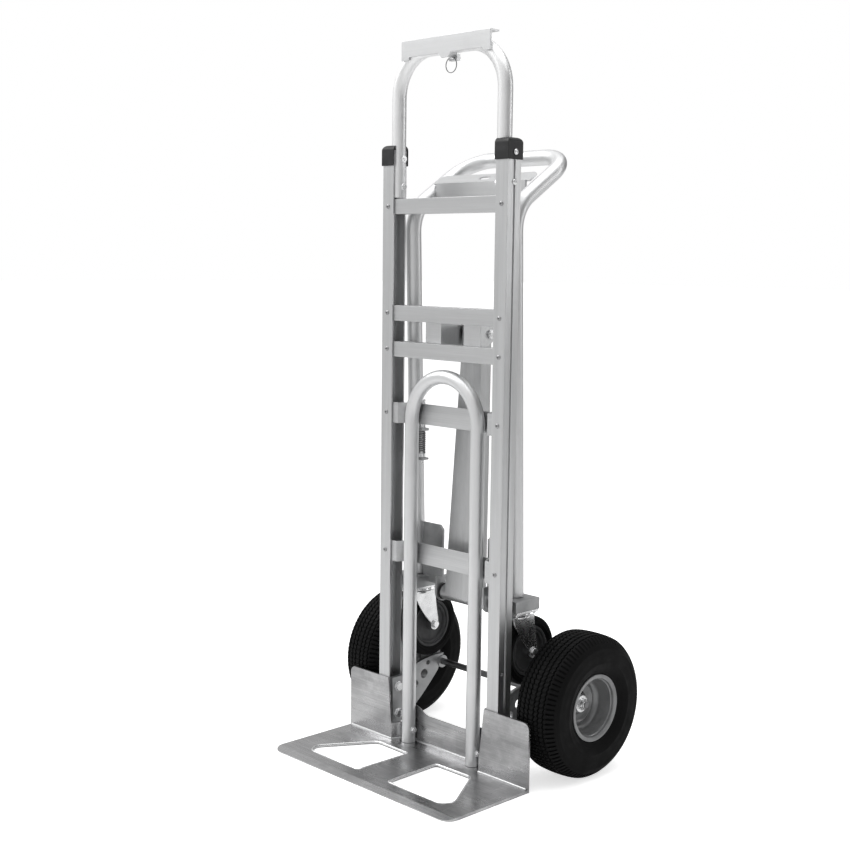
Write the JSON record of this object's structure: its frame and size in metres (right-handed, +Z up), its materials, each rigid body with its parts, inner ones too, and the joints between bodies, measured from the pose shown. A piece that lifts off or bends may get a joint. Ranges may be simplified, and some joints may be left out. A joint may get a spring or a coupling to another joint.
{
  "type": "convertible hand truck",
  "caption": "Convertible aluminium hand truck with a toe plate, large pneumatic wheels and a hinged rear handle frame on swivel casters that folds out to carry it tilted.",
  "frame": {"origin": "on the floor under the toe plate, midway between the rails and in line with their front faces", "axes": "+Z up along the rails, +Y to the back towards the wheels and casters, +X to the right seen from the front"},
  "size_m": [0.539, 0.4535, 1.277],
  "materials": {
    "extruded_aluminium": "satin extrusion",
    "polished_tube": "bright drawn tube",
    "brushed_plate": "brushed",
    "cast_aluminium": "fine sand-cast",
    "zinc_steel": "bright zinc",
    "dark_steel": "dark oiled",
    "black_plastic": "matt moulded",
    "tyre_rubber": "matt rubber",
    "grey_rim": "satin grey paint",
    "grey_core": "moulded grey"
  },
  "bodies": {
    "main_frame": {"left_rail": "extruded_aluminium", "left_rail_cap": "black_plastic", "left_loop_bolt_1": "zinc_steel", "left_loop_bolt_2": "zinc_steel", "left_foot_bolt_1": "zinc_steel", "left_foot_bolt_2": "zinc_steel", "left_axle_bracket": "cast_aluminium", "left_axle_nut": "zinc_steel", "left_pivot_bracket": "extruded_aluminium", "right_rail": "extruded_aluminium", "right_rail_cap": "black_plastic", "right_loop_bolt_1": "zinc_steel", "right_loop_bolt_2": "zinc_steel", "right_foot_bolt_1": "zinc_steel", "right_foot_bolt_2": "zinc_steel", "right_axle_bracket": "cast_aluminium", "right_axle_nut": "zinc_steel", "right_pivot_bracket": "extruded_aluminium", "cross_strap_1": "extruded_aluminium", "cross_strap_2": "extruded_aluminium", "cross_strap_3": "extruded_aluminium", "cross_strap_4": "extruded_aluminium", "cross_strap_5": "extruded_aluminium", "top_loop": "polished_tube", "top_bracket": "extruded_aluminium", "pin_housing": "cast_aluminium", "bow_tube": "polished_tube", "toe_plate": "brushed_plate", "axle": "zinc_steel", "upper_pivot_bolt": "zinc_steel"},
    "left_wheel": {"left_tyre": "tyre_rubber", "left_rim": "grey_rim"},
    "right_wheel": {"right_tyre": "tyre_rubber", "right_rim": "grey_rim"},
    "brace": {"brace": "brushed_plate", "left_upper_bushing": "black_plastic", "left_lower_bushing": "black_plastic", "right_upper_bushing": "black_plastic", "right_lower_bushing": "black_plastic"},
    "handle_frame": {"handle_loop": "polished_tube", "handle_cross_plate": "extruded_aluminium", "lower_pivot_bolt": "zinc_steel", "plunger_bracket": "cast_aluminium", "plunger_spring": "zinc_steel", "left_caster_mount": "cast_aluminium", "left_caster_top": "zinc_steel", "right_caster_mount": "cast_aluminium", "right_caster_top": "zinc_steel"},
    "pull_pin": {"pull_pin": "zinc_steel"},
    "pull_ring": {"pull_ring": "dark_steel"},
    "plunger": {"plunger_pin": "zinc_steel"},
    "left_caster_fork": {"left_caster_fork": "zinc_steel", "left_caster_axle": "zinc_steel"},
    "left_caster_wheel": {"left_caster_core": "grey_core", "left_caster_tyre": "tyre_rubber"},
    "right_caster_fork": {"right_caster_fork": "zinc_steel", "right_caster_axle": "zinc_steel"},
    "right_caster_wheel": {"right_caster_core": "grey_core", "right_caster_tyre": "tyre_rubber"}
  },
  "joints": [
    {"name": "brace_fold", "type": "hinge", "parent": "main_frame", "child": "brace", "pos_m": [0, 0.093, 0.766], "axis": [1, 0, 0], "range_deg": [0, 85.35]},
    {"name": "handle_fold", "type": "hinge", "parent": "brace", "child": "handle_frame", "pos_m": [0, 0.073, 0.286], "axis": [1, 0, 0], "range_deg": [-38, 0]},
    {"name": "pin_pull", "type": "slide", "parent": "main_frame", "child": "pull_pin", "axis": [0, -1, 0], "range_m": [0, 0.009], "stiffness_N_per_m": 400, "springref_m": -0.004},
    {"name": "ring_swing", "type": "hinge", "parent": "pull_pin", "child": "pull_ring", "pos_m": [0, 0.017, 1.242], "axis": [1, 0, 0], "range_deg": [-50, 15]},
    {"name": "plunger_lift", "type": "slide", "parent": "handle_frame", "child": "plunger", "axis": [0, 0, 1], "range_m": [0, 0.014], "stiffness_N_per_m": 300, "springref_m": -0.006, "deforming": ["plunger_spring"]},
    {"name": "left_wheel_spin", "type": "hinge", "parent": "main_frame", "child": "left_wheel", "pos_m": [-0.222, 0.1325, 0.127], "axis": [1, 0, 0], "continuous": true},
    {"name": "left_caster_swivel", "type": "hinge", "parent": "handle_frame", "child": "left_caster_fork", "pos_m": [-0.1246, 0.0695, 0.279], "axis": [0, 0, 1], "range_deg": [-110, 20]},
    {"name": "left_caster_spin", "type": "hinge", "parent": "left_caster_fork", "child": "left_caster_wheel", "pos_m": [-0.1246, 0.0965, 0.21], "axis": [1, 0, 0], "continuous": true},
    {"name": "right_wheel_spin", "type": "hinge", "parent": "main_frame", "child": "right_wheel", "pos_m": [0.222, 0.1325, 0.127], "axis": [1, 0, 0], "continuous": true},
    {"name": "right_caster_swivel", "type": "hinge", "parent": "handle_frame", "child": "right_caster_fork", "pos_m": [0.1246, 0.0695, 0.279], "axis": [0, 0, 1], "range_deg": [-20, 110]},
    {"name": "right_caster_spin", "type": "hinge", "parent": "right_caster_fork", "child": "right_caster_wheel", "pos_m": [0.1246, 0.0965, 0.21], "axis": [1, 0, 0], "continuous": true}
  ],
  "couplings": [
    {"joint": "handle_fold", "follows": "brace_fold", "ratio": -0.4447}
  ]
}
